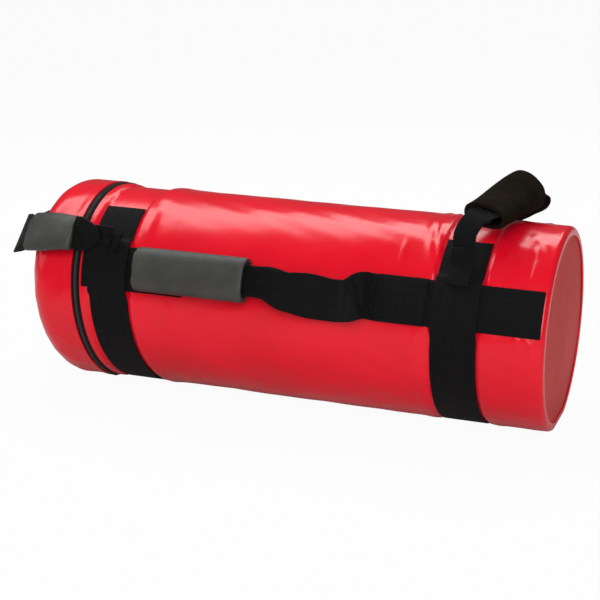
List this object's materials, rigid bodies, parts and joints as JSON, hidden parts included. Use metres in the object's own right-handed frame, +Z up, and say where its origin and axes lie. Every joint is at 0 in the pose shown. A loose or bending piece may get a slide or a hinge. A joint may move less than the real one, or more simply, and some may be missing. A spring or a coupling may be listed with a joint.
{
  "type": "sandbag trainer",
  "caption": "Padded cylindrical sand-filled training bag with a zipped hinged lid at one end, webbing bands, two end loops and one long side handle with foam sleeves.",
  "frame": {"origin": "on the floor plane, under the middle of the bag: the flat underside that the bag rests on", "axes": "+X along the bag from the zipped lid to the sewn end, -Y the side with the long handle, +Z up"},
  "size_m": [0.6823, 0.2682, 0.271],
  "materials": {
    "red_pvc": "PVC-coated polyester, semi-gloss",
    "red_end": "coated polyester, matt",
    "black_webbing": "woven polypropylene webbing",
    "black_tape": "woven zip tape",
    "grey_coil": "nylon zip coil",
    "grey_foam": "closed-cell foam sleeve",
    "dark_foam": "closed-cell foam sleeve",
    "metal": "die-cast zip metal",
    "cream_foam": "open-cell foam padding",
    "canvas": "canvas pouch filled with sand",
    "cord": "twisted cotton cord"
  },
  "bodies": {
    "bag": {"shell_tube": "red_pvc", "end_disc": "red_end", "foam_liner": "cream_foam", "base_pad": "cream_foam", "filler_pouch_1": "canvas", "filler_pouch_2": "canvas", "filler_pouch_3": "canvas", "filler_tie_1": "cord", "filler_tie_2": "cord", "filler_tie_3": "cord", "strap_left": "black_webbing", "strap_right": "black_webbing", "strip_left_front": "black_webbing", "strip_left_rear": "black_webbing", "strip_right_front": "black_webbing", "strip_right_rear": "black_webbing", "side_anchor": "black_webbing", "left_root_front": "black_webbing", "left_root_rear": "black_webbing", "right_root_front": "black_webbing", "right_root_rear": "black_webbing", "zip_tape_body": "black_tape", "zip_teeth_body": "grey_coil", "zip_stop": "metal", "lid_hinge_strip": "black_tape"},
    "lid": {"lid_shell": "red_pvc", "lid_pad": "cream_foam", "zip_tape_lid": "black_tape", "zip_teeth_lid": "grey_coil"},
    "left_loop": {"left_handle": "black_webbing", "left_grip": "grey_foam"},
    "right_loop": {"right_handle": "black_webbing", "right_grip": "dark_foam"},
    "side_webbing": {"side_handle": "black_webbing"},
    "side_sleeve": {"side_grip": "grey_foam"},
    "slider": {"zip_slider": "metal"},
    "pull": {"zip_pull": "metal"}
  },
  "joints": [
    {"name": "lid_open", "type": "hinge", "parent": "bag", "child": "lid", "pos_m": [-0.27677, 0, 0.2306], "axis": [0, 1, 0], "range_deg": [0, 75]},
    {"name": "left_loop_swing", "type": "hinge", "parent": "lid", "child": "left_loop", "pos_m": [-0.244, 0, 0.193], "axis": [0, 1, 0], "range_deg": [0, 50]},
    {"name": "right_loop_swing", "type": "hinge", "parent": "bag", "child": "right_loop", "pos_m": [0.1879, 0, 0.2085], "axis": [0, 1, 0], "range_deg": [-60, 4]},
    {"name": "side_handle_lift", "type": "slide", "parent": "bag", "child": "side_webbing", "axis": [0, -0.9191, 0.3939], "range_m": [0, 0.035]},
    {"name": "side_sleeve_slide", "type": "slide", "parent": "side_webbing", "child": "side_sleeve", "axis": [1, 0, 0], "range_m": [0, 0.02]},
    {"name": "zip_slider_travel", "type": "hinge", "parent": "bag", "child": "slider", "pos_m": [-0.26255, 0, 0.11], "axis": [-0.9972, 0, -0.075], "range_deg": [0, 210]},
    {"name": "zip_pull_flip", "type": "hinge", "parent": "slider", "child": "pull", "pos_m": [-0.26577, 0.11812, 0.15287], "axis": [0.9972, 0, 0.075], "range_deg": [0, 120]}
  ]
}
